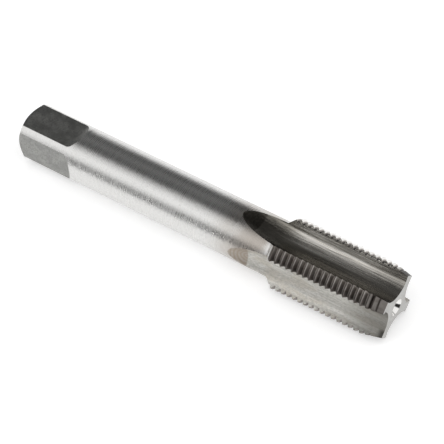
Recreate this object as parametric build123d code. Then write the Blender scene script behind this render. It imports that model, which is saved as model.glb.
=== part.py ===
"""Straight-fluted hand tap for an M18 x 1.5 thread, ground from one bar of high-speed steel.

The tap lies along +X with its drive square at x = 0 and its cutting end at x = overall_length.
One flute opens straight up and one straight down, so the tap rests on the two lands between them.
Every feature is cut from one turned blank: drive square, helical thread, flutes, centre holes.
"""
from build123d import *
import os
from math import acos, asin, ceil, cos, radians, sin, sqrt, tan

# Overall sizes, in millimetres
overall_length = 104.0
shank_diameter = 14.0

# Drive square at the rear end
square_across_flats = 11.2
square_length = 14.0
square_runout_radius = 2.4
square_runout_angle = 38.0
rear_chamfer = 1.5
rear_chamfer_angle = 30.0

# Thread
thread_diameter = 18.0
thread_pitch = 1.5
thread_length = 29.3
first_groove_offset = 0.39
thread_angle = 60.0
shoulder_angle = 45.0
lead_length = 5.0
lead_end_diameter = 15.6

# Flutes
flute_count = 4
land_width = 3.7
core_diameter = 7.8
rake_angle = 6.0
flute_floor_radius = 5.6
flute_corner_radius = 1.5
flute_wheel_radius = 40.0
flute_full_depth_length = 25.8

# Centre holes, 60 degree type, one in each end
centre_mouth_diameter = 4.25
centre_pilot_diameter = 2.0
centre_pilot_depth = 2.6
centre_cone_angle = 60.0
drill_point_angle = 118.0

# Cutters reach this far past the surfaces they cut
overcut = 2.0

# Worked-out sizes
shank_radius = shank_diameter / 2
thread_radius = thread_diameter / 2
thread_start_x = overall_length - thread_length
lead_start_x = overall_length - lead_length
half_thread_angle = radians(thread_angle / 2)

# A tap's thread is ground deep, so that crest and root flats are each an eighth of the pitch
crest_flat = thread_pitch / 8
root_flat = thread_pitch / 8
thread_depth = (thread_pitch - crest_flat - root_flat) / 2 / tan(half_thread_angle)


def turned_blank():
    """Shank, shoulder cone, thread cylinder and tapered lead, turned as one profile."""
    shoulder_length = (thread_radius - shank_radius) / tan(radians(shoulder_angle))
    chamfer_length = rear_chamfer * tan(radians(rear_chamfer_angle))
    with BuildSketch(Plane.XZ) as section:
        with BuildLine():
            Polyline(
                (0, 0),
                (0, shank_radius - rear_chamfer),
                (chamfer_length, shank_radius),
                (thread_start_x - shoulder_length, shank_radius),
                (thread_start_x, thread_radius),
                (lead_start_x, thread_radius),
                (overall_length, lead_end_diameter / 2),
                (overall_length, 0),
                close=True,
            )
        make_face()
    return revolve(section.sketch, Axis.X)


def square_cutter():
    """Slab above one flat; its front end lifts off the shank in a radius and a ramp."""
    flat_height = square_across_flats / 2
    top = shank_radius + overcut
    ramp = radians(square_runout_angle)
    arc_end = (
        square_length + square_runout_radius * sin(ramp),
        flat_height + square_runout_radius * (1 - cos(ramp)),
    )
    ramp_end = (arc_end[0] + (top - arc_end[1]) / tan(ramp), top)
    arc_middle = (
        square_length + square_runout_radius * sin(ramp / 2),
        flat_height + square_runout_radius * (1 - cos(ramp / 2)),
    )
    with BuildSketch(Plane.XZ) as section:
        with BuildLine():
            Line((-overcut, flat_height), (square_length, flat_height))
            ThreePointArc((square_length, flat_height), arc_middle, arc_end)
            Polyline(arc_end, ramp_end, (-overcut, top), (-overcut, flat_height))
        make_face()
    return extrude(section.sketch, amount=shank_radius + overcut, both=True)


def land_groove():
    """Space between two threads where it crosses the land after the upward flute.

    A trapezium, drawn over the flute's middle, follows a right-hand helix to the next flute's middle.
    """
    helix = Helix(
        pitch=thread_pitch,
        height=thread_pitch / flute_count,
        radius=thread_radius,
        direction=(1, 0, 0),
    )
    rise = crest_flat / 4 / tan(half_thread_angle)
    top_half_width = root_flat / 2 + (thread_depth + rise) * tan(half_thread_angle)
    plane = Plane(origin=helix @ 0, x_dir=(1, 0, 0), z_dir=(0, -1, 0))
    with BuildSketch(plane) as section:
        Polygon(
            (-root_flat / 2, -thread_depth),
            (root_flat / 2, -thread_depth),
            (top_half_width, rise),
            (-top_half_width, rise),
            align=None,
        )
    return sweep(section.sketch, path=helix, is_frenet=True)


def thread_grooves():
    """Every crossing of the thread's groove over a land, from the shoulder to the cutting end."""
    groove = land_groove()
    turns = ceil(thread_length / thread_pitch) + 2
    grooves = []
    for crossing in range(-2 * flute_count, turns * flute_count):
        x = thread_start_x + first_groove_offset + thread_pitch * crossing / flute_count
        grooves.append(Pos(x, 0, 0) * groove.rotate(Axis.X, 360 / flute_count * crossing))
    return grooves


def flute_section():
    """Cross-section of the flute that opens upwards, seen from the cutting end's side of the tap.

    The cutting face is on the +Y side and the heel on the -Y side.  The floor is an arc that just
    reaches the core and comes up to the heel, and a tighter arc joins it to the cutting face.
    """
    core_radius = core_diameter / 2
    edge_angle = radians(180 / flute_count) - asin(land_width / thread_diameter)
    cutting_edge = Vector(thread_radius * sin(edge_angle), thread_radius * cos(edge_angle))
    heel = Vector(-cutting_edge.X, cutting_edge.Y)

    # The floor's centre is one floor radius from the heel and from the nearest point of the core
    reach = core_radius + flute_floor_radius
    swing = acos((reach**2 + thread_radius**2 - flute_floor_radius**2) / (2 * reach * thread_radius))
    floor_centre = Vector(reach * sin(swing - edge_angle), reach * cos(swing - edge_angle))
    deepest = floor_centre.normalized() * core_radius

    # The cutting face runs straight in from the edge to where it meets the floor.  A face that lies
    # outside the floor's circle stops level with its centre, and the floor widens to meet it.
    face_angle = edge_angle - radians(rake_angle)
    face_out = Vector(sin(face_angle), cos(face_angle))
    to_edge = cutting_edge - floor_centre
    along = to_edge.dot(face_out)
    sideways_square = to_edge.dot(to_edge) - along**2
    face_length = along + sqrt(max(flute_floor_radius**2 - sideways_square, 0))
    foot = cutting_edge - face_out * face_length

    top = thread_radius + overcut
    face_top = cutting_edge + face_out * ((top - cutting_edge.Y) / face_out.Y)
    heel_top = Vector(-face_top.X, top)
    with BuildSketch(Plane.YZ.offset(overall_length - flute_full_depth_length)) as section:
        with BuildLine():
            ThreePointArc(heel, deepest, foot)
            Polyline(foot, face_top, heel_top, heel)
        make_face()
        corner = section.vertices().sort_by(Axis.Z)[0:2].sort_by(Axis.Y)[-1]
        fillet(corner, radius=flute_corner_radius)
    return section.sketch


def flute_cutter():
    """Grinding wheel's path: straight along the thread, then lifting out where the wheel stands."""
    section = flute_section()
    straight = extrude(section, amount=flute_full_depth_length + overcut)
    full_depth_x = overall_length - flute_full_depth_length
    wheel_centre = Vector(full_depth_x, 0, core_diameter / 2 + flute_wheel_radius)
    runout = revolve(section, Axis(wheel_centre, (0, 1, 0)), revolution_arc=25)
    return straight + runout


def centre_hole():
    """Rear centre hole: a 60 degree countersink with a pilot drilled below it."""
    mouth = centre_mouth_diameter / 2
    pilot = centre_pilot_diameter / 2
    cone_depth = (mouth - pilot) / tan(radians(centre_cone_angle / 2))
    tip_depth = pilot / tan(radians(drill_point_angle / 2))
    with BuildSketch(Plane.XZ) as section:
        with BuildLine():
            Polyline(
                (-overcut, 0),
                (-overcut, mouth),
                (0, mouth),
                (cone_depth, pilot),
                (cone_depth + centre_pilot_depth, pilot),
                (cone_depth + centre_pilot_depth + tip_depth, 0),
                close=True,
            )
        make_face()
    return revolve(section.sketch, Axis.X)


def tap():
    """The whole tap: the blank with every cut made in it."""
    body = turned_blank()
    rear_hole = centre_hole()
    body -= [rear_hole, rear_hole.mirror(Plane.YZ.offset(overall_length / 2))]
    flat = square_cutter()
    body -= [flat.rotate(Axis.X, 90 * side) for side in range(4)]
    flute = flute_cutter()
    body -= [flute.rotate(Axis.X, 360 / flute_count * turn) for turn in range(flute_count)]
    body -= thread_grooves()
    return body.solid()


os.makedirs("parts", exist_ok=True)
export_step(tap(), "parts/tap_body.step")
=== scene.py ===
from math import acos, atan2, asin, cos, pi, radians, sin, sqrt, tan

import bmesh
import bpy
import numpy as np
from mathutils import Matrix, Vector


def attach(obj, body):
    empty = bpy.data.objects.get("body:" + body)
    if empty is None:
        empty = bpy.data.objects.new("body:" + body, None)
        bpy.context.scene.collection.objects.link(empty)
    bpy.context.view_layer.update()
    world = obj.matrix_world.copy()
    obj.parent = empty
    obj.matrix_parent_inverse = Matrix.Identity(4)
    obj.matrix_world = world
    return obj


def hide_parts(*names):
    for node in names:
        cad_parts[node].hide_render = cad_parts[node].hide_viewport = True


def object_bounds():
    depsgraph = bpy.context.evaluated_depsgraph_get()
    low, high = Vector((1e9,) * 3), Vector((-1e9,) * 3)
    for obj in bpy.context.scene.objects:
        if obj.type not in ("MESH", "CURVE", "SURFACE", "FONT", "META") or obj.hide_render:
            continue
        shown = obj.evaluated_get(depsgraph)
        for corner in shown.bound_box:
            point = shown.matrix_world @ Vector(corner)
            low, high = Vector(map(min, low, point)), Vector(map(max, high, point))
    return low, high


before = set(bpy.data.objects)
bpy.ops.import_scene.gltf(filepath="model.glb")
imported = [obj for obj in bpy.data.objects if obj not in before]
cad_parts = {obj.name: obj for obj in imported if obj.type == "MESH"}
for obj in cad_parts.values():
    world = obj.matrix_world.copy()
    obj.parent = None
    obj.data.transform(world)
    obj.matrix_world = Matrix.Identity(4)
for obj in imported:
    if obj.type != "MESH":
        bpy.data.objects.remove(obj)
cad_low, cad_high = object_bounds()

# ---------------------------------------------------------------------------------------------
# Tap body: form
# One bar of high-speed steel, turned and cylindrically ground: drive square at the rear, round
# shank, shoulder cone and a larger cutting end with a tapered lead.  Four flutes are ground along
# the cutting end by a wheel that lifts out of the shank.  Sizes in this section are millimetres.
# ---------------------------------------------------------------------------------------------
overall_length = 104.0
shank_radius = 7.0
square_height = 5.6
square_length = 14.0
runout_radius = 2.4
runout_angle = radians(38)
rear_chamfer = 1.5
chamfer_length = rear_chamfer * tan(radians(30))
thread_radius = 9.0
thread_start = 74.7
shoulder_start = 72.7
lead_start = 99.0
lead_end_radius = 7.8

sides = 4
land_half_angle = asin(3.7 / 18)
land_edge_angle = pi / sides - land_half_angle
core_radius = 3.9
rake = radians(6)
floor_radius = 5.6
corner_radius = 1.5
wheel_radius = 40.0
full_depth_start = 78.2

thread_pitch = 1.5
thread_depth = thread_pitch * 3 / 8 / tan(radians(30))
first_crest = 75.464

centre_mouth_radius = 2.125
centre_pilot_radius = 1.0
centre_pilot_depth = 2.6
centre_cone_slope = tan(radians(30))
drill_tip_slope = tan(radians(59))

# Points round a ring, rings along the thread, and points along each stretch of a flute's section
gap_steps = 36
land_steps = 12
side_steps = gap_steps + land_steps
ring_steps = sides * side_steps
rows_per_pitch = 16
rows_at_edges = (1, 7, 9, 15)
hole_steps = 64
face_steps, corner_steps, floor_steps, past_steps = 60, 60, 200, 4
face_weight, corner_weight, floor_weight = 0.7, 2.6, 1.0

# Half angles that the points of one side cover where the bar is round
end_fan = radians(8)
shank_fan = radians(24)


def blank_radius(x):
    """Radius of the turned blank at distance x from its rear face."""
    places = [0, chamfer_length, shoulder_start, thread_start, lead_start, overall_length]
    radii = [
        shank_radius - rear_chamfer,
        shank_radius,
        shank_radius,
        thread_radius,
        thread_radius,
        lead_end_radius,
    ]
    return np.interp(x, places, radii)


def flat_height(x):
    """Height of a square flat over the axis: level, then a radius and a ramp out of the shank."""
    arc_end = square_length + runout_radius * sin(runout_angle)
    if x <= square_length:
        return square_height
    if x <= arc_end:
        return square_height + runout_radius - sqrt(runout_radius**2 - (x - square_length) ** 2)
    arc_rise = runout_radius * (1 - cos(runout_angle))
    return square_height + arc_rise + (x - arc_end) * tan(runout_angle)


def arc_points(centre, radius, start, end, count):
    """Points of an arc about centre, turning anticlockwise from start to end."""
    first = atan2(*(start - centre)[::-1])
    last = atan2(*(end - centre)[::-1])
    if last < first:
        last += 2 * pi
    turn = np.linspace(first, last, count)
    return centre + radius * np.stack([np.cos(turn), np.sin(turn)], axis=1)


def flute_profile():
    """Closely spaced points (across, out) of a flute's section, from its cutting face to its heel.

    The floor is an arc that reaches the core and comes up to the heel.  A tighter arc joins it to
    the straight cutting face.  Each point also has a weight, which is higher where it turns more.
    """
    edge = np.array([-sin(land_edge_angle), cos(land_edge_angle)]) * thread_radius
    heel = np.array([-edge[0], edge[1]])
    reach = core_radius + floor_radius
    swing = acos((reach**2 + thread_radius**2 - floor_radius**2) / (2 * reach * thread_radius))
    lean = swing - land_edge_angle
    floor_centre = np.array([-sin(lean), cos(lean)]) * reach
    face_angle = land_edge_angle - rake
    face_out = np.array([-sin(face_angle), cos(face_angle)])
    face_side = np.array([cos(face_angle), sin(face_angle)])
    offset = edge + face_side * corner_radius - floor_centre
    along = offset @ face_out
    inside = floor_radius - corner_radius
    length = along + sqrt(along**2 - offset @ offset + inside**2)
    corner_centre = edge + face_side * corner_radius - face_out * length
    face_end = edge - face_out * length
    floor_start = floor_centre + (corner_centre - floor_centre) / inside * floor_radius
    straight = edge + (face_end - edge) * np.linspace(-0.1, 1, face_steps)[:, None]
    corner = arc_points(corner_centre, corner_radius, face_end, floor_start, corner_steps)[1:]
    floor = arc_points(floor_centre, floor_radius, floor_start, heel, floor_steps)[1:]
    past_heel = heel + np.array([0.5, 1.0]) * np.linspace(0.1, 1, past_steps)[:, None]
    weight = np.concatenate([
        np.full(len(straight), face_weight),
        np.full(len(corner), corner_weight),
        np.full(len(floor) + len(past_heel), floor_weight),
    ])
    return np.vstack([straight, corner, floor, past_heel]), weight


section, section_weight = flute_profile()
wheel_axis = core_radius + wheel_radius


def flat_points(x):
    """Points (across, out) of one square flat at x, or None where the shank is round."""
    height = flat_height(x)
    radius = blank_radius(x)
    if height >= radius:
        return None
    half = sqrt(radius**2 - height**2)
    across = np.linspace(-half, half, gap_steps + 1)
    return np.stack([across, np.full_like(across, height)], axis=1)


def flute_points(x, face_radius, heel_radius):
    """Points (across, out) of one flute at x, from its edge to its heel, or None if there is none.

    Past its full depth the wheel lifts out, and each point of the section follows its own circle.
    The first and last steps are wide enough for the thread to be sunk into the rims.
    """
    least_rim_share, rim_margin, rim_slant = 0.03, 0.12, 1.15
    back = max(full_depth_start - x, 0)
    wheel = wheel_axis - section[:, 1]
    lift = np.sqrt(np.maximum(wheel**2 - back**2, 0))
    out = np.where(wheel > back, wheel_axis - lift, 2 * wheel_axis)
    curve = np.stack([section[:, 0], out], axis=1)
    distance = np.hypot(curve[:, 0], curve[:, 1])
    deepest = int(np.argmin(distance))
    if distance[deepest] >= min(face_radius, heel_radius):
        return None
    first = int(np.nonzero(distance[:deepest] >= face_radius)[0][-1])
    last = deepest + int(np.nonzero(distance[deepest:] >= heel_radius)[0][0])

    def crossing(outside, inside, radius):
        share = (radius - distance[inside]) / (distance[outside] - distance[inside])
        return curve[inside] + (curve[outside] - curve[inside]) * share

    start = crossing(first, first + 1, face_radius)
    end = crossing(last, last - 1, heel_radius)
    line = np.vstack([start, curve[first + 1 : last], end])
    weight = section_weight[first : last + 1]
    steps = np.hypot(*np.diff(line, axis=0).T)
    length = np.concatenate([[0], np.cumsum(steps)])
    measure = np.concatenate([[0], np.cumsum(steps * (weight[1:] + weight[:-1]) / 2)])
    groove_depth = face_radius - thread_radius + thread_depth
    rim = max(least_rim_share * length[-1], rim_slant * groove_depth + rim_margin)
    rim_start, rim_end = np.interp([rim, length[-1] - rim], length, measure)
    places = np.interp(np.linspace(rim_start, rim_end, gap_steps - 1), measure, length)
    places = np.concatenate([[0], places, [length[-1]]])
    return np.stack([np.interp(places, length, line[:, axis]) for axis in (0, 1)], axis=1)


def closing_place(points_at, low, high):
    """Where a flat or flute closes to a point, between low, where it is open, and high."""
    for _ in range(40):
        middle = (low + high) / 2
        if points_at(middle) is None:
            high = middle
        else:
            low = middle
    return low


def shank_flute(x):
    """A flute's points where it comes out of the round shank."""
    return flute_points(x, shank_radius, shank_radius)


square_start = closing_place(flat_points, chamfer_length, 0)
flat_tip = closing_place(flat_points, square_length, square_length + 4)
flute_tip = closing_place(shank_flute, shoulder_start, square_length + 4)
flute_tip_turn = atan2(*shank_flute(flute_tip)[gap_steps // 2])


def round_points(x, middle, fan):
    """Points of one side where the bar is round, fanned out on both sides of the angle middle."""
    turn = middle + np.linspace(-fan, fan, gap_steps + 1)
    return blank_radius(x) * np.stack([np.sin(turn), np.cos(turn)], axis=1)


def side_points(x, twist):
    """One side's share of a ring: points (along, across, out) and the way the thread cuts in.

    twist is how far the ring leans along the axis for each radian, so that it follows the helix.
    """
    lean = twist * land_half_angle
    between_tips = (x - flat_tip) / (flute_tip - flat_tip)
    if x < square_start:
        gap = round_points(x, 0, end_fan)
    elif x < flat_tip:
        gap = flat_points(x)
    elif x > flute_tip:
        gap = flute_points(x, blank_radius(x + lean), blank_radius(x - lean))
    else:
        fan = shank_fan * sin(pi * min(max(between_tips, 0), 1))
        gap = round_points(x, between_tips * flute_tip_turn, fan)
    low, high = atan2(*gap[0]), atan2(*gap[-1])
    share = np.arange(1, land_steps) / land_steps
    turn = high + (2 * pi / sides + low - high) * share
    shift = twist * (turn - pi / sides)
    outward = np.stack([np.sin(turn), np.cos(turn)], axis=1)
    land = blank_radius(x + shift)[:, None] * outward
    gap_shift = np.linspace(twist * (low + pi / sides), twist * (high - pi / sides), gap_steps + 1)
    along = x + np.concatenate([gap_shift, shift])
    cut = np.vstack([np.zeros_like(gap), -outward])
    for end, beside in ((0, 1), (gap_steps, gap_steps - 1)):
        slope = gap[beside] - gap[end]
        fall = -(slope @ gap[end]) / np.hypot(*gap[end])
        if fall > 0:
            cut[end] = slope / fall
    points = np.column_stack([along, np.vstack([gap, land])])
    return points, np.column_stack([np.zeros(len(cut)), cut])


def turned_to_side(points, side):
    """The same points or directions, turned about the axis to the side with that number."""
    turn = 2 * pi * side / sides
    along, across, out = points.T
    y = out * cos(turn) - across * sin(turn)
    z = out * sin(turn) + across * cos(turn)
    return np.column_stack([along, y, z])


# Rings stand close together where the form bends and follow the helix along the thread
ramp_start = square_length + runout_radius * sin(runout_angle)
row_pitch = thread_pitch / rows_per_pitch
row_origin = first_crest + thread_pitch / (2 * sides)
groove_start = thread_start - thread_depth
first_row = int(np.ceil((groove_start - row_origin) / row_pitch))
last_row = int(np.floor((overall_length - row_origin) / row_pitch - 0.8))
rows = np.arange(first_row, last_row + 1)
ring_places = np.concatenate([
    [0],
    square_start + (chamfer_length - square_start) * np.linspace(0, 1, 10) ** 2,
    np.linspace(chamfer_length, square_length, 8)[1:],
    np.linspace(square_length, ramp_start, 8)[1:],
    flat_tip - (flat_tip - ramp_start) * (1 - np.linspace(0, 1, 13)[1:]) ** 2,
    np.linspace(flat_tip, flute_tip, 40)[1:],
    flute_tip + (shoulder_start - flute_tip) * np.linspace(0, 1, 31)[1:] ** 2,
    np.linspace(shoulder_start, groove_start, 6)[1:],
    row_origin + row_pitch * rows,
    [overall_length],
])
ring_count = len(ring_places)
first_row_ring = ring_count - 1 - len(rows)
points, cuts = [], []
for number, place in enumerate(ring_places):
    on_thread = first_row_ring <= number < ring_count - 1
    one_side, one_cut = side_points(place, thread_pitch / (2 * pi) if on_thread else 0)
    for side in range(sides):
        points.append(turned_to_side(one_side, side))
        cuts.append(turned_to_side(one_cut, side))
points, cuts = np.vstack(points), np.vstack(cuts)

form = bmesh.new()
cut_in = form.verts.layers.float_vector.new("cut direction")
threaded = form.verts.layers.bool.new("threaded")
rings = []
for number in range(ring_count):
    ring = []
    for step in range(ring_steps):
        index = number * ring_steps + step
        vertex = form.verts.new(points[index] / 1000)
        vertex[cut_in] = cuts[index]
        on_land = step % side_steps in (0, *range(gap_steps, side_steps))
        vertex[threaded] = bool(on_land and number >= first_row_ring)
        ring.append(vertex)
    rings.append(ring)

# Finishes in the order of the material slots; the thread lands get theirs from a node tree
ground_shank, square_flat, ground_flute, thread_land, end_face, centre_hole = range(6)


def join_rings(first, second, finish_at):
    """Faces between two rings that have the same number of points."""
    count = len(first)
    for step in range(count):
        after = (step + 1) % count
        face = form.faces.new((first[step], first[after], second[after], second[step]))
        face.material_index = finish_at(step)


def side_finish(gap_finish):
    """Finish of each face round a ring: the gap's own, and the shank's between the gaps."""
    return lambda step: gap_finish if step % side_steps < gap_steps else ground_shank


for number in range(ring_count - 1):
    middle = (ring_places[number] + ring_places[number + 1]) / 2
    gap_finish = ground_shank
    if square_start < middle < flat_tip:
        gap_finish = square_flat
    elif middle > flute_tip:
        gap_finish = ground_flute
    join_rings(rings[number], rings[number + 1], side_finish(gap_finish))


def edges_between(ring):
    """The edges that run round a ring."""
    return [form.edges.get((ring[step], ring[step - 1])) for step in range(len(ring))]


crease_edges = []


def bore_centre_hole(face_place, inward_sign, outer_ring):
    """The end face and its centre hole: countersink, pilot and the drill's own tip."""
    cone_depth = (centre_mouth_radius - centre_pilot_radius) / centre_cone_slope
    pilot_end = cone_depth + centre_pilot_depth
    tip = pilot_end + centre_pilot_radius / drill_tip_slope
    hole_rings = []
    for depth, radius in (
        (0, centre_mouth_radius),
        (cone_depth, centre_pilot_radius),
        (pilot_end, centre_pilot_radius),
    ):
        ring = []
        for turn in np.arange(hole_steps) * 2 * pi / hole_steps:
            x = face_place + inward_sign * depth
            ring.append(form.verts.new(Vector((x, radius * cos(turn), radius * sin(turn))) / 1000))
        hole_rings.append(ring)
    for first, second in zip(hole_rings, hole_rings[1:]):
        join_rings(first, second, lambda step: centre_hole)
    bottom = form.verts.new(Vector((face_place + inward_sign * tip, 0, 0)) / 1000)
    deepest = hole_rings[-1]
    for step in range(len(deepest)):
        form.faces.new((deepest[step - 1], deepest[step], bottom)).material_index = centre_hole
    rim_edges = edges_between(outer_ring) + edges_between(hole_rings[0])
    filled = bmesh.ops.triangle_fill(
        form, edges=rim_edges, use_beauty=True, normal=(inward_sign, 0, 0)
    )
    for item in filled["geom"]:
        if isinstance(item, bmesh.types.BMFace):
            item.material_index = end_face
    for ring in [outer_ring, *hole_rings]:
        crease_edges.extend(edges_between(ring))


bore_centre_hole(0, 1, rings[0])
bore_centre_hole(overall_length, -1, rings[-1])

# Creases: rims of flats and flutes, chamfer, shoulder, lead, and the four edges of each thread
crease_rings = [int(np.argmin(abs(ring_places - place))) for place in (
    chamfer_length, shoulder_start, thread_start, lead_start
)]
for number in crease_rings:
    crease_edges.extend(edges_between(rings[number]))
for number in range(ring_count - 1):
    middle = (ring_places[number] + ring_places[number + 1]) / 2
    if middle < square_start or flat_tip < middle < flute_tip:
        continue
    for side in range(sides):
        for rim in (0, gap_steps):
            step = side * side_steps + rim
            crease_edges.append(form.edges.get((rings[number][step], rings[number + 1][step])))
for row in rows:
    ring = rings[first_row_ring + row - first_row]
    for side in range(sides):
        if (row - side * rows_per_pitch // sides) % rows_per_pitch in rows_at_edges:
            start = side * side_steps + gap_steps
            for step in range(start, start + land_steps):
                edge = form.edges.get((ring[step], ring[(step + 1) % ring_steps]))
                crease_edges.append(edge)
for face in form.faces:
    face.smooth = True
for edge in crease_edges:
    edge.smooth = False
bmesh.ops.remove_doubles(form, verts=form.verts, dist=1e-7)
bmesh.ops.recalc_face_normals(form, faces=form.faces)
blank_mesh = bpy.data.meshes.new("fluted blank")
form.to_mesh(blank_mesh)
form.free()
blank = bpy.data.objects.new("fluted_blank", blank_mesh)
bpy.context.scene.collection.objects.link(blank)

# ---------------------------------------------------------------------------------------------
# Tap body: thread
# The right-hand thread is ground into the four lands that the flutes leave.  It keeps one helix
# all along, is cut through by the flutes, and fades out where the lead tapers below its root.
# ---------------------------------------------------------------------------------------------
def add_node(tree, kind, sockets=None, **settings):
    """Add a node; a socket takes a plain value or is linked to another node's output."""
    node = tree.nodes.new(kind)
    for name, value in settings.items():
        setattr(node, name, value)
    for name, value in (sockets or {}).items():
        if isinstance(value, bpy.types.NodeSocket):
            tree.links.new(value, node.inputs[name])
        else:
            node.inputs[name].default_value = value
    return node


def add_math(tree, operation, first, second=0.0):
    """A Math node's result, for sockets or plain numbers."""
    return add_node(tree, "ShaderNodeMath", {0: first, 1: second}, operation=operation).outputs[0]


def thread_grinding_tree():
    """Node tree that sinks the marked lands to the thread's profile."""
    tree = bpy.data.node_groups.new("thread grinding", "GeometryNodeTree")
    ports = tree.interface
    ports.new_socket("Geometry", in_out="INPUT", socket_type="NodeSocketGeometry")
    for name in ("Pitch", "First crest", "Outer radius", "Thread depth"):
        ports.new_socket(name, in_out="INPUT", socket_type="NodeSocketFloat")
    ports.new_socket("Finish", in_out="INPUT", socket_type="NodeSocketMaterial")
    ports.new_socket("Geometry", in_out="OUTPUT", socket_type="NodeSocketGeometry")
    given = add_node(tree, "NodeGroupInput").outputs
    place = add_node(tree, "GeometryNodeInputPosition").outputs[0]
    split = add_node(tree, "ShaderNodeSeparateXYZ", {0: place}).outputs

    # How far a point is from the nearest crest, in pitches, along the axis
    turn = add_math(tree, "DIVIDE", add_math(tree, "ARCTAN2", split["Z"], split["Y"]), 2 * pi)
    along = add_math(tree, "SUBTRACT", split["X"], given["First crest"])
    phase = add_math(tree, "SUBTRACT", add_math(tree, "DIVIDE", along, given["Pitch"]), turn)
    past_root = add_math(tree, "FRACT", add_math(tree, "ADD", phase, 0.5))
    from_crest = add_math(tree, "ABSOLUTE", add_math(tree, "SUBTRACT", past_root, 0.5))

    # Crest and root are each an eighth of the pitch wide
    depth_share = add_node(tree, "ShaderNodeMapRange", {
        "Value": from_crest, "From Min": 1 / 16, "From Max": 7 / 16, "To Min": 0.0, "To Max": 1.0
    }).outputs[0]
    sunk = add_math(tree, "MULTIPLY", depth_share, given["Thread depth"])
    profile = add_math(tree, "SUBTRACT", given["Outer radius"], sunk)
    height_square = add_math(tree, "MULTIPLY", split["Z"], split["Z"])
    width_square = add_math(tree, "MULTIPLY", split["Y"], split["Y"])
    radius = add_math(tree, "SQRT", add_math(tree, "ADD", height_square, width_square))
    cut = add_math(tree, "MAXIMUM", add_math(tree, "SUBTRACT", radius, profile), 0.0)

    direction = add_node(
        tree, "GeometryNodeInputNamedAttribute", {"Name": "cut direction"}, data_type="FLOAT_VECTOR"
    ).outputs[0]
    threaded = add_node(
        tree, "GeometryNodeInputNamedAttribute", {"Name": "threaded"}, data_type="BOOLEAN"
    ).outputs[0]
    offset = add_node(tree, "ShaderNodeVectorMath", {0: direction, "Scale": cut}, operation="SCALE")
    sunken = add_node(tree, "GeometryNodeSetPosition", {
        "Geometry": given["Geometry"], "Selection": threaded, "Offset": offset.outputs[0]
    })
    solid = add_node(tree, "GeometryNodeRealizeInstances", {"Geometry": sunken.outputs[0]})
    finished = add_node(tree, "GeometryNodeSetMaterial", {
        "Geometry": solid.outputs[0], "Selection": threaded, "Material": given["Finish"]
    })
    add_node(tree, "NodeGroupOutput", {"Geometry": finished.outputs[0]})
    return tree


def run_tree(holder, tree, values):
    """Run a node tree on an object and return its result as a plain mesh."""
    modifier = holder.modifiers.new(tree.name, "NODES")
    modifier.node_group = tree
    for item in tree.interface.items_tree:
        if item.in_out == "INPUT" and item.name in values:
            modifier[item.identifier] = values[item.name]
    shown = holder.evaluated_get(bpy.context.evaluated_depsgraph_get())
    mesh = bpy.data.meshes.new_from_object(shown)
    holder.modifiers.remove(modifier)
    return mesh


# ---------------------------------------------------------------------------------------------
# Tap body: finishes
# Bare steel all over, told apart by how each face was worked: round grinding on the shank, dull
# flats on the square, lengthwise grinding in the flutes, and brownish hardened thread lands.  The
# flutes and the thread lands also carry painted shade and painted highlights.
# Places are millimetres, and noise scales are grains per millimetre along each axis.
# ---------------------------------------------------------------------------------------------
def new_finish(name):
    """A bare metal material, with its node tree and its shader."""
    material = bpy.data.materials.new(name)
    material.use_nodes = True
    tree = material.node_tree
    shader = tree.nodes["Principled BSDF"]
    shader.inputs["Metallic"].default_value = 1.0
    return material, tree, shader


def millimetre_place(tree):
    """A point's place on the tap, in millimetres."""
    place = add_node(tree, "ShaderNodeTexCoord").outputs["Object"]
    scaled = add_node(tree, "ShaderNodeMapping", {"Vector": place, "Scale": (1000, 1000, 1000)})
    return scaled.outputs[0]


def streaks(tree, place, scale, detail=3.0, roughness=0.55):
    """Noise from 0 to 1, drawn out by giving each axis its own number of grains."""
    spread = add_node(tree, "ShaderNodeMapping", {"Vector": place, "Scale": scale}).outputs[0]
    return add_node(tree, "ShaderNodeTexNoise", {
        "Vector": spread, "Scale": 1.0, "Detail": detail, "Roughness": roughness
    }).outputs[0]


def blend_colours(tree, share, first, second):
    """Colour that goes from first to second with share; each may be plain or a node's output."""
    mix = add_node(tree, "ShaderNodeMix", {0: share}, data_type="RGBA")
    for number, colour in ((6, first), (7, second)):
        if isinstance(colour, bpy.types.NodeSocket):
            tree.links.new(colour, mix.inputs[number])
        else:
            mix.inputs[number].default_value = (*colour, 1.0)
    return mix.outputs[2]


def rise(tree, value, start, end, low=0.0, high=1.0):
    """A smooth step from low to high as value goes from start to end."""
    return add_node(tree, "ShaderNodeMapRange", {
        "Value": value, "From Min": start, "From Max": end, "To Min": low, "To Max": high
    }, interpolation_type="SMOOTHSTEP").outputs[0]


def product(tree, first, second):
    """Two shares multiplied."""
    return add_math(tree, "MULTIPLY", first, second)


def paint(tree, shader, colour, roughness):
    """Link the finished colour and roughness to the shader."""
    tree.links.new(colour, shader.inputs["Base Color"])
    tree.links.new(roughness, shader.inputs["Roughness"])


def scratch_bump(tree, shader, height, depth, strength=1.0):
    """Relief from a height pattern; depth is in metres."""
    bump = add_node(tree, "ShaderNodeBump", {
        "Strength": strength, "Distance": depth, "Height": height
    })
    tree.links.new(bump.outputs[0], shader.inputs["Normal"])


def grain_direction(tree, shader, anisotropy, direction):
    """Grinding grain: the sheen spreads along direction, across the grinding marks."""
    shader.inputs["Anisotropic"].default_value = anisotropy
    tree.links.new(direction, shader.inputs["Tangent"])


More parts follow.
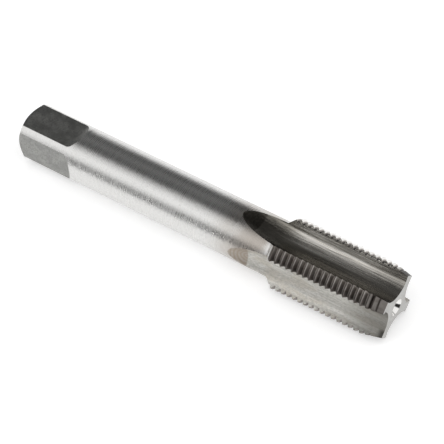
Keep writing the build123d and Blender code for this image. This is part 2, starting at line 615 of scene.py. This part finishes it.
def finish_shank():
    """Cylindrical grinding: fine marks round the axis, a faint warm tint before the shoulder."""
    steel_grey, steel_pale = (0.67, 0.665, 0.65), (0.72, 0.715, 0.705)
    grain_grey = (0.53, 0.525, 0.515)
    heat_tint = (0.43, 0.395, 0.36)
    tint_start, tint_full, tint_fading, tint_end = 54, 68, 71, 73

    material, tree, shader = new_finish("ground shank")
    place = millimetre_place(tree)
    along = add_node(tree, "ShaderNodeSeparateXYZ", {0: place}).outputs["X"]
    fine = streaks(tree, place, (4.0, 0.15, 0.15))
    grain = streaks(tree, place, (2.4, 2.0, 2.0), 2.0)
    clouds = streaks(tree, place, (0.14, 0.2, 0.2))
    steel = blend_colours(tree, rise(tree, fine, 0.3, 0.7), steel_grey, steel_pale)
    grained = blend_colours(tree, rise(tree, grain, 0.45, 0.75, 0.0, 0.4), steel, grain_grey)
    tint_band = product(
        tree,
        rise(tree, along, tint_start, tint_full),
        rise(tree, along, tint_fading, tint_end, 1.0, 0.1),
    )
    tint_share = product(tree, tint_band, rise(tree, clouds, 0.3, 0.6, 0.4, 1.0))
    tinted = blend_colours(tree, tint_share, grained, heat_tint)
    paint(tree, shader, tinted, rise(tree, fine, 0.2, 0.8, 0.25, 0.31))
    along_axis = add_node(tree, "ShaderNodeCombineXYZ", {"X": 1.0}).outputs[0]
    grain_direction(tree, shader, 0.3, along_axis)
    scratch_bump(tree, shader, grain, 0.00003)
    return material


def finish_square():
    """Milled flats, left dull: mottled grey with a fine grain and a few pits."""
    dull_dark, dull_pale = (0.28, 0.28, 0.27), (0.40, 0.40, 0.385)
    pit_grey = (0.22, 0.22, 0.21)

    material, tree, shader = new_finish("dull square flats")
    place = millimetre_place(tree)
    mottle = streaks(tree, place, (0.45, 0.45, 0.45), 4.0, 0.6)
    grain = streaks(tree, place, (2.2, 2.2, 2.2))
    dull = blend_colours(tree, rise(tree, mottle, 0.32, 0.68), dull_dark, dull_pale)
    pitted = blend_colours(tree, rise(tree, grain, 0.42, 0.72, 0.0, 0.75), dull, pit_grey)
    paint(tree, shader, pitted, rise(tree, mottle, 0.3, 0.7, 0.42, 0.56))
    scratch_bump(tree, shader, grain, 0.00006)
    return material


def quarter_turn(tree, split):
    """How far round a place is, in quarter turns: whole numbers are the flutes' middles."""
    turn = add_math(tree, "ARCTAN2", split["Z"], split["Y"])
    return add_math(tree, "DIVIDE", turn, pi / 2)


def length_of(tree, first, second):
    """Length of the sum of two distances at right angles."""
    squares = product(tree, first, first), product(tree, second, second)
    return add_math(tree, "SQRT", add_math(tree, "ADD", *squares))


def corner_highlight_share(tree, split, across):
    """Share of the painted highlight in the corner under the cutting face, which fades out at both
    its ends.
    """
    in_corner = rise(tree, across, -0.16, -0.08, 1.0, 0.0)
    past_runout = rise(tree, split["X"], 72.0, 80.0)
    before_front = rise(tree, split["X"], 93.0, 102.0, 1.0, 0.12)
    return product(tree, in_corner, product(tree, past_runout, before_front))


def upper_flute_shaded_colour(tree, split, corner, scratches, patches):
    """Floor in painted shade, near black by the run-out, paler to the front; painted highlight in
    the corner.
    """
    floor_in_shade, scratch_in_shade = (0.19, 0.178, 0.155), (0.33, 0.312, 0.275)
    highlight_pale, highlight_scratch = (0.50, 0.475, 0.43), (0.80, 0.775, 0.73)
    front_grey = (0.42, 0.40, 0.37)
    runout_shade_black = (0.06, 0.056, 0.048)
    patch_brown = (0.24, 0.225, 0.20)

    scratched = rise(tree, scratches, 0.3, 0.7)
    to_front = rise(tree, split["X"], 82.0, 100.0, 0.0, 0.45)
    # Painted shade, nearly black, on the floor by the run-out
    runout_shade = rise(tree, split["X"], 67.5, 75.0, 0.6, 0.0)
    floor = blend_colours(tree, scratched, floor_in_shade, scratch_in_shade)
    floor = blend_colours(tree, to_front, floor, front_grey)
    floor = blend_colours(tree, runout_shade, floor, runout_shade_black)
    # Painted highlight: a pale scratched streak in the corner under the cutting face
    highlight_steel = blend_colours(tree, scratched, highlight_pale, highlight_scratch)
    steel = blend_colours(tree, corner, floor, highlight_steel)
    return blend_colours(tree, rise(tree, patches, 0.45, 0.7, 0.0, 0.35), steel, patch_brown)


def lower_flute_lit_colour(tree, split, scratches, patches, mottle):
    """Painted pale as a floor reflection, and coarse; painted shade where deep and at its end;
    darker to the front.
    """
    lit_grey, lit_scratch = (0.60, 0.585, 0.54), (0.92, 0.905, 0.87)
    patch_beige = (0.66, 0.61, 0.53)
    mottle_grey = (0.40, 0.39, 0.36)
    deep_shade_and_front_grey = (0.15, 0.145, 0.13)
    end_shade_black = (0.03, 0.028, 0.025)

    outward = length_of(tree, split["Y"], split["Z"])
    # Painted pale: the steel painted as a reflection of the white floor
    steel = blend_colours(tree, rise(tree, scratches, 0.3, 0.7), lit_grey, lit_scratch)
    steel = blend_colours(tree, rise(tree, patches, 0.45, 0.6, 0.0, 0.6), steel, patch_beige)
    steel = blend_colours(tree, rise(tree, mottle, 0.45, 0.62, 0.0, 0.5), steel, mottle_grey)
    # Painted shade deep in the flute, towards the axis; the same grey also darkens the steel
    # towards the front
    to_front = rise(tree, split["X"], 85.0, 103.0, 0.0, 0.78)
    deep = rise(tree, outward, 6.0, 7.8, 0.30, 0.0)
    steel = blend_colours(tree, add_math(tree, "MAXIMUM", to_front, deep), steel, deep_shade_and_front_grey)
    # Painted shade: a nearly black patch at the front end, beside the land
    at_end = rise(tree, split["X"], 102.2, 103.6)
    by_land = rise(tree, outward, 5.6, 6.6, 0.0, 0.8)
    return blend_colours(tree, product(tree, at_end, by_land), steel, end_shade_black)


def runout_arcs(tree, split, across):
    """Share of the wheel's arcs: ripples about one point, which end with the run-out."""
    arc_centre, ripples = 67.5, 8.0
    sideways = product(tree, across, shank_radius * pi / 2)
    backwards = add_math(tree, "SUBTRACT", split["X"], arc_centre)
    reach = length_of(tree, backwards, sideways)
    ripple = add_math(tree, "SINE", product(tree, reach, ripples))
    on_runout = rise(tree, split["X"], arc_centre - 0.2, arc_centre + 0.1, 1.0, 0.0)
    return product(tree, rise(tree, ripple, -0.6, 1.0, 0.60, 0.85), on_runout)


def finish_flute():
    """Flutes: long grinding scratches, and brownish arcs where the wheel came out of the steel.

    The upper two have painted shade on the floor and a painted highlight in the corner under the
    cutting face.  The lower two were left coarser, and are painted paler as a reflection of the
    floor.
    """
    # The run-out arcs are painted near black in the upper flutes' painted shade, and brown in the
    # lower ones
    shaded_arc, lit_arc = (0.04, 0.036, 0.03), (0.30, 0.245, 0.195)

    material, tree, shader = new_finish("ground flutes")
    place = millimetre_place(tree)
    split = add_node(tree, "ShaderNodeSeparateXYZ", {0: place}).outputs
    scratches = streaks(tree, place, (0.06, 2.6, 2.6), 4.0, 0.65)
    patches = streaks(tree, place, (0.16, 0.6, 0.6))
    mottle = streaks(tree, place, (1.5, 3.4, 3.4), 3.0, 0.7)

    # Whole quarter turns are the flutes' middles; the corner is just before, the heel after
    quarters = quarter_turn(tree, split)
    across = add_math(tree, "SUBTRACT", quarters, add_math(tree, "ROUND", quarters))
    # corner is the painted highlight's share; it also makes the corner a little rougher
    corner = corner_highlight_share(tree, split, across)
    # lower picks the lower flutes, painted pale as a reflection of the floor, over the upper ones
    # in painted shade; it also makes them rougher
    lower = rise(tree, add_math(tree, "ADD", split["Y"], split["Z"]), -2.0, 2.0, 1.0, 0.0)
    upper_shaded_steel = upper_flute_shaded_colour(tree, split, corner, scratches, patches)
    lower_lit_steel = lower_flute_lit_colour(tree, split, scratches, patches, mottle)
    steel = blend_colours(tree, lower, upper_shaded_steel, lower_lit_steel)
    arc_brown = blend_colours(tree, lower, shaded_arc, lit_arc)
    arced = blend_colours(tree, runout_arcs(tree, split, across), steel, arc_brown)

    coarser = add_math(tree, "MAXIMUM", product(tree, lower, 0.26), product(tree, corner, 0.10))
    rough = add_math(tree, "ADD", rise(tree, scratches, 0.2, 0.8, 0.14, 0.22), coarser)
    paint(tree, shader, arced, rough)
    normal = add_node(tree, "ShaderNodeNewGeometry").outputs["Normal"]
    across_grain = add_node(
        tree, "ShaderNodeVectorMath", {0: normal, 1: (1, 0, 0)}, operation="CROSS_PRODUCT"
    ).outputs[0]
    grain_direction(tree, shader, 0.3, across_grain)
    scratch_bump(tree, shader, scratches, 0.00009)
    return material


def crest_share(tree, split, outward):
    """Share of the thread's crests, which come in towards the axis along the lead."""
    lead_slope = (thread_radius - lead_end_radius) / (overall_length - lead_start)
    along_lead = add_math(tree, "MAXIMUM", add_math(tree, "SUBTRACT", split["X"], lead_start), 0.0)
    crest_radius = add_math(tree, "SUBTRACT", thread_radius, product(tree, along_lead, lead_slope))
    below_crest = add_math(tree, "SUBTRACT", crest_radius, outward)
    return rise(tree, below_crest, 0.04, 0.14, 1.0, 0.0)


def land_painted_shade(tree, split, crest):
    """How much painted shade a land has: more towards its cutting edge, and on the lead between the
    crests.

    A land runs from the heel, 0.37 of a quarter turn past its flute's middle, to the next edge.
    """
    past_flute = add_math(tree, "FRACT", quarter_turn(tree, split))
    shade_towards_edge = add_node(tree, "ShaderNodeMapRange", {
        "Value": past_flute, "From Min": 0.40, "From Max": 0.62, "To Min": 0.08, "To Max": 0.72
    }).outputs[0]
    lead_share = rise(tree, split["X"], lead_start - 0.5, lead_start + 1.0)
    lead_groove_shade = product(tree, lead_share, rise(tree, crest, 0.0, 1.0, 0.92, 0.62))
    return add_math(tree, "MAXIMUM", shade_towards_edge, lead_groove_shade)


def finish_thread():
    """Thread lands: brown from hardening, painted shade towards the cutting edge, painted
    highlights on crests.
    """
    rear_flank_shade, front_flank_lit = (0.15, 0.135, 0.12), (0.44, 0.40, 0.37)
    near_crest_highlight, far_crest_highlight = (0.50, 0.465, 0.435), (0.86, 0.84, 0.81)
    line_pale = (0.60, 0.57, 0.54)
    stain_brown = (0.22, 0.195, 0.175)
    shade_brown = (0.05, 0.042, 0.036)
    root_shade_black = (0.03, 0.026, 0.022)
    tip_highlight = (0.95, 0.94, 0.92)

    material, tree, shader = new_finish("dark thread lands")
    place = millimetre_place(tree)
    split = add_node(tree, "ShaderNodeSeparateXYZ", {0: place}).outputs
    outward = length_of(tree, split["Y"], split["Z"])
    normal = add_node(tree, "ShaderNodeNewGeometry").outputs["Normal"]
    facing = add_node(tree, "ShaderNodeSeparateXYZ", {0: normal}).outputs["X"]
    lines = streaks(tree, place, (3.4, 0.3, 0.3))
    stain = streaks(tree, place, (0.35, 0.6, 0.6))
    far_side = rise(tree, split["Y"], -3.0, 3.0)
    crest = crest_share(tree, split, outward)
    # Painted highlight on the crests, brighter on the far side
    crest_highlight = blend_colours(tree, far_side, near_crest_highlight, far_crest_highlight)
    # Painted shade on the flanks that face the rear, lighter colour on those that face the front
    steel = blend_colours(tree, rise(tree, facing, -0.7, 0.5), rear_flank_shade, front_flank_lit)
    steel = blend_colours(tree, crest, steel, crest_highlight)
    steel = blend_colours(tree, rise(tree, lines, 0.45, 0.7, 0.0, 0.6), steel, line_pale)
    steel = blend_colours(tree, rise(tree, stain, 0.42, 0.7, 0.0, 0.7), steel, stain_brown)
    near_side = add_math(tree, "SUBTRACT", 1.0, far_side)
    # Painted shade on the near side of the lands, near black towards the cutting edge
    near_side_shade = product(tree, land_painted_shade(tree, split, crest), near_side)
    steel = blend_colours(tree, near_side_shade, steel, shade_brown)

    # On the far side the tips get a painted highlight above roots of nearly black painted shade
    at_root = rise(tree, outward, thread_radius - 0.85, thread_radius - 0.45, 0.92, 0.0)
    at_tip = rise(tree, outward, thread_radius - 0.55, thread_radius - 0.2)
    steel = blend_colours(tree, product(tree, far_side, at_root), steel, root_shade_black)
    steel = blend_colours(tree, product(tree, far_side, at_tip), steel, tip_highlight)
    paint(tree, shader, steel, rise(tree, lines, 0.2, 0.8, 0.42, 0.54))
    scratch_bump(tree, shader, lines, 0.00003)
    return material


def finish_end_face():
    """Faced ends: fine pale grinding grain, and a small dark nick by the near land's end."""
    face_grey, face_pale = (0.40, 0.395, 0.38), (0.54, 0.535, 0.52)
    cloud_grey = (0.38, 0.37, 0.35)
    nick_dark = (0.05, 0.047, 0.042)
    nick_place = (overall_length, -5.6, 3.8)

    material, tree, shader = new_finish("faced ends")
    place = millimetre_place(tree)
    grain = streaks(tree, place, (2.0, 2.6, 2.6), 3.0, 0.65)
    clouds = streaks(tree, place, (0.4, 0.4, 0.4), 2.0)
    ground = blend_colours(tree, rise(tree, grain, 0.3, 0.7), face_grey, face_pale)
    varied = blend_colours(tree, rise(tree, clouds, 0.35, 0.7, 0.0, 0.5), ground, cloud_grey)
    from_nick = add_node(
        tree, "ShaderNodeVectorMath", {0: place, 1: nick_place}, operation="DISTANCE"
    ).outputs["Value"]
    nicked = blend_colours(tree, rise(tree, from_nick, 0.25, 0.6, 0.9, 0.0), varied, nick_dark)
    paint(tree, shader, nicked, rise(tree, grain, 0.2, 0.8, 0.30, 0.46))
    scratch_bump(tree, shader, grain, 0.00002, 0.4)
    return material


def finish_hole():
    """Centre holes: turned cone and drilled pilot, smooth enough to mirror."""
    cut_grey, cut_pale = (0.78, 0.77, 0.75), (0.92, 0.91, 0.89)

    material, tree, shader = new_finish("drilled centre")
    place = millimetre_place(tree)
    rings = streaks(tree, place, (7.0, 0.4, 0.4), 2.0)
    cut = blend_colours(tree, rise(tree, rings, 0.3, 0.7), cut_grey, cut_pale)
    paint(tree, shader, cut, rise(tree, rings, 0.2, 0.8, 0.06, 0.12))
    return material


thread_finish = finish_thread()
for finish in (
    finish_shank(), finish_square(), finish_flute(), thread_finish, finish_end_face(), finish_hole()
):
    blank_mesh.materials.append(finish)
tap_mesh = run_tree(blank, thread_grinding_tree(), {
    "Pitch": thread_pitch / 1000,
    "First crest": first_crest / 1000,
    "Outer radius": thread_radius / 1000,
    "Thread depth": thread_depth / 1000,
    "Finish": thread_finish,
})
bpy.data.objects.remove(blank)
tap = bpy.data.objects.new("ground_tap", tap_mesh)
bpy.context.scene.collection.objects.link(tap)
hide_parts("tap_body")
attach(tap, "root")

# ---------------------------------------------------------------------------------------------
# Floor and light
# A plain white floor under the tap, one long soft box on the near side and a dim room with a
# white wall on the far side, so that the bare metal has something pale and dark to mirror.
# ---------------------------------------------------------------------------------------------
floor_height = cad_low.z
floor_half_size = 1.5
floor_white = 0.77
floor_glow = 0.43

# In the metal's mirror the floor is lit beside the tap and dimmer beyond, on the near side
lit_pool_start, lit_pool_end = 0.028, 0.11
mirrored_dimness = 0.36


def build_floor():
    """White floor; it glows a little to the camera and to mirrors, and keeps the tap's shadow."""
    mesh = bpy.data.meshes.new("floor")
    size = floor_half_size
    corners = [(-size, -size), (size, -size), (size, size), (-size, size)]
    mesh.from_pydata([(x, y, floor_height) for x, y in corners], [], [(0, 1, 2, 3)])
    material = bpy.data.materials.new("white floor")
    material.use_nodes = True
    tree = material.node_tree
    tree.nodes.clear()
    place = add_node(tree, "ShaderNodeTexCoord").outputs["Object"]
    sideways = add_node(tree, "ShaderNodeSeparateXYZ", {0: place}).outputs["Y"]
    lit_pool = rise(tree, sideways, -lit_pool_end, -lit_pool_start)
    path = add_node(tree, "ShaderNodeLightPath").outputs
    in_mirror = path["Is Glossy Ray"]
    kept = rise(tree, lit_pool, 0, 1, mirrored_dimness, 1.0)
    lost = product(tree, in_mirror, add_math(tree, "SUBTRACT", 1.0, kept))
    shade = add_math(tree, "SUBTRACT", floor_white, product(tree, lost, floor_white))
    colour = add_node(tree, "ShaderNodeCombineColor", {0: shade, 1: shade, 2: shade}).outputs[0]
    matt = add_node(tree, "ShaderNodeBsdfDiffuse", {"Color": colour})
    seen = add_math(tree, "MAXIMUM", path["Is Camera Ray"], product(tree, in_mirror, lit_pool))
    glow = add_node(tree, "ShaderNodeEmission", {"Strength": product(tree, seen, floor_glow)})
    both = add_node(tree, "ShaderNodeAddShader", {0: matt.outputs[0], 1: glow.outputs[0]})
    add_node(tree, "ShaderNodeOutputMaterial", {"Surface": both.outputs[0]})
    mesh.materials.append(material)
    floor = bpy.data.objects.new("floor", mesh)
    bpy.context.scene.collection.objects.link(floor)


# Light that reaches the tap from each tilt round its axis, in degrees from the far side upwards
room_levels = (
    (0, 0.90),
    (8, 0.64),
    (17, 0.31),
    (29, 0.105),
    (42, 0.10),
    (60, 0.185),
    (76, 0.13),
    (87, 0.07),
    (94, 0.11),
    (102, 0.33),
    (110, 0.68),
    (118, 0.90),
    (126, 1.05),
    (134, 1.18),
    (142, 1.18),
    (150, 1.08),
    (158, 0.88),
    (166, 0.48),
    (174, 0.26),
    (180, 0.22),
)
brightest = 1.2


def build_room():
    """The room: white to the camera.  To the tap it is dim overhead, with a white wall on the far
    side and a long soft box on the near side, each fading out at its edges.

    Past the cutting end it is white from the far side to overhead and nearly dark on the near side.
    """
    world = bpy.data.worlds.new("room")
    world.use_nodes = True
    tree = world.node_tree
    tree.nodes.clear()
    way = add_node(tree, "ShaderNodeTexCoord").outputs["Generated"]
    split = add_node(tree, "ShaderNodeSeparateXYZ", {0: way}).outputs
    tilt = add_math(tree, "ARCTAN2", split["Z"], split["Y"])
    ramp = add_node(tree, "ShaderNodeFloatCurve", {"Value": add_math(tree, "DIVIDE", tilt, pi)})
    curve = ramp.mapping.curves[0]
    for number, (degrees, level) in enumerate(room_levels):
        if number < len(curve.points):
            curve.points[number].location = (degrees / 180, level / brightest)
        else:
            curve.points.new(degrees / 180, level / brightest)
    ramp.mapping.update()
    sides_level = product(tree, ramp.outputs[0], brightest)
    end_level = rise(tree, tilt, radians(112), radians(135), 1.0, 0.03)
    past_end = rise(tree, split["X"], 0.36, 0.46)
    level = add_node(tree, "ShaderNodeMix", {0: past_end, 2: sides_level, 3: end_level}).outputs[0]
    to_camera = add_node(tree, "ShaderNodeLightPath").outputs["Is Camera Ray"]
    shown = add_node(tree, "ShaderNodeMix", {0: to_camera, 2: level, 3: 1.0}).outputs[0]
    background = add_node(tree, "ShaderNodeBackground", {"Color": (1, 1, 1, 1), "Strength": shown})
    add_node(tree, "ShaderNodeOutputWorld", {"Surface": background.outputs[0]})
    bpy.context.scene.world = world


def hang_soft_lamp():
    """A wide soft lamp overhead, which lights the floor and is kept out of the metal's mirror."""
    side, height, brightness = 1.2, 0.9, 1.1
    light = bpy.data.lights.new("overhead lamp", "AREA")
    light.size = side
    light.energy = brightness * pi * side**2
    lamp = bpy.data.objects.new("overhead lamp", light)
    lamp.location = (overall_length / 2000, 0, height)
    lamp.visible_glossy = False
    bpy.context.scene.collection.objects.link(lamp)


build_floor()
build_room()
hang_soft_lamp()

# ---------------------------------------------------------------------------------------------
# Camera
# It looks down on the tap from the near side of its cutting end, a long lens at arm's length.
# ---------------------------------------------------------------------------------------------
azimuth = radians(35.80)
elevation = radians(49.45)
roll = radians(-2.65)
distance = 0.400
target = Vector((0.056555, 0.0, -0.000126))

back = Vector((sin(azimuth) * cos(elevation), -cos(azimuth) * cos(elevation), sin(elevation)))
right = Vector((cos(azimuth), sin(azimuth), 0))
up = back.cross(right)
rolled_right = cos(roll) * right + sin(roll) * up
rolled_up = cos(roll) * up - sin(roll) * right
lens = bpy.data.cameras.new("camera")
lens.sensor_width = 36.0
lens.lens = 137.32
lens.clip_start, lens.clip_end = 0.01, 10.0
camera = bpy.data.objects.new("camera", lens)
camera.matrix_world = (
    Matrix.Translation(target + back * distance)
    @ Matrix((rolled_right, rolled_up, back)).transposed().to_4x4()
)
bpy.context.scene.collection.objects.link(camera)
bpy.context.scene.camera = camera
bpy.context.scene.view_settings.view_transform = "Standard"
